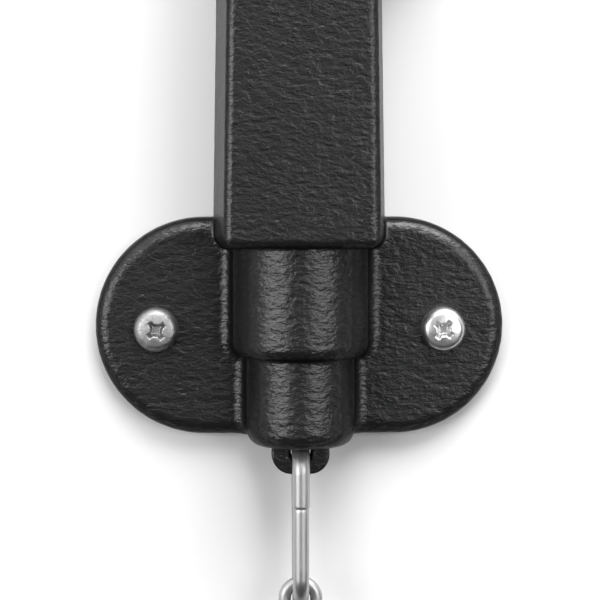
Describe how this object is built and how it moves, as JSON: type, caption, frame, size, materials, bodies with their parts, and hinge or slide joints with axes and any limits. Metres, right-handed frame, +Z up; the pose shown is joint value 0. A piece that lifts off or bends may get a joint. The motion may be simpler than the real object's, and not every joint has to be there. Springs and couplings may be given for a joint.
{
  "type": "stair gate latch",
  "caption": "Wall-mounted spring latch for a stair gate: grained black tower on a flange plate, with a bevelled bolt drawn in by a pull chain and ring under a stepped barrel.",
  "frame": {"origin": "on the wall plane, midway between the flange plate's mounting screws", "axes": "+Z up along the tower, +Y into the wall, +X the way the bolt points"},
  "size_m": [0.0872, 0.054, 0.331],
  "materials": {
    "grained_plastic": "leather grain, semi-gloss",
    "cover_plastic": "fine matt",
    "zinc_screw": "bright zinc",
    "chain_wire": "polished",
    "plate_steel": "brushed",
    "bar_steel": "drawn bar",
    "spring_steel": "oiled wire",
    "nylon": "natural nylon",
    "bumper_rubber": "matt"
  },
  "bodies": {
    "housing": {"latch_housing": "grained_plastic", "back_cover": "cover_plastic", "cover_screws": "zinc_screw", "bolt_face_plate": "plate_steel", "face_plate_screws": "zinc_screw", "bolt_guide": "nylon", "rod_guide_bush": "nylon", "end_stop_bumper": "bumper_rubber", "spring_seat_washer": "plate_steel", "upper_rod_guide": "nylon", "mounting_screw_left": "zinc_screw", "mounting_screw_right": "zinc_screw", "mounting_screw_top": "zinc_screw"},
    "pull_rod": {"pull_rod": "bar_steel", "cam_plate": "plate_steel", "cam_plate_pin": "bar_steel", "spring_collar": "bar_steel", "spring_clip": "spring_steel", "pull_eye": "grained_plastic", "eye_pin": "bar_steel", "return_spring": "spring_steel"},
    "latch_bolt": {"latch_bolt": "bar_steel", "bolt_cross_pin": "bar_steel"},
    "chain_link_1": {"chain_link_1": "chain_wire"},
    "chain_link_2": {"chain_link_2": "chain_wire"},
    "chain_link_3": {"chain_link_3": "chain_wire"},
    "chain_link_4": {"chain_link_4": "chain_wire"},
    "chain_link_5": {"chain_link_5": "chain_wire"},
    "pull_ring": {"pull_ring": "chain_wire"}
  },
  "joints": [
    {"name": "rod_slide", "type": "slide", "parent": "housing", "child": "pull_rod", "axis": [0, 0, -1], "range_m": [0, 0.012], "stiffness_N_per_m": 900, "springref_m": -0.006, "deforming": ["return_spring"]},
    {"name": "bolt_slide", "type": "slide", "parent": "housing", "child": "latch_bolt", "axis": [-1, 0, 0], "range_m": [0, 0.012]},
    {"name": "chain_link_1_sway", "type": "hinge", "parent": "pull_rod", "child": "chain_link_1", "pos_m": [0, -0.012, -0.0252], "axis": [0, 1, 0], "range_deg": [-50, 50]},
    {"name": "chain_link_2_swing", "type": "hinge", "parent": "chain_link_1", "child": "chain_link_2", "pos_m": [0, -0.012, -0.05355], "axis": [-1, 0, 0], "range_deg": [-2, 50]},
    {"name": "chain_link_3_sway", "type": "hinge", "parent": "chain_link_2", "child": "chain_link_3", "pos_m": [0, -0.012, -0.0792], "axis": [0, 1, 0], "range_deg": [-50, 50]},
    {"name": "chain_link_4_swing", "type": "hinge", "parent": "chain_link_3", "child": "chain_link_4", "pos_m": [0, -0.012, -0.10485], "axis": [-1, 0, 0], "range_deg": [-2, 50]},
    {"name": "chain_link_5_sway", "type": "hinge", "parent": "chain_link_4", "child": "chain_link_5", "pos_m": [0, -0.012, -0.1305], "axis": [0, 1, 0], "range_deg": [-50, 50]},
    {"name": "pull_ring_swing", "type": "hinge", "parent": "chain_link_5", "child": "pull_ring", "pos_m": [0, -0.012, -0.1559], "axis": [-1, 0, 0], "range_deg": [-2, 60]}
  ],
  "couplings": [
    {"joint": "bolt_slide", "follows": "rod_slide", "ratio": 1}
  ]
}
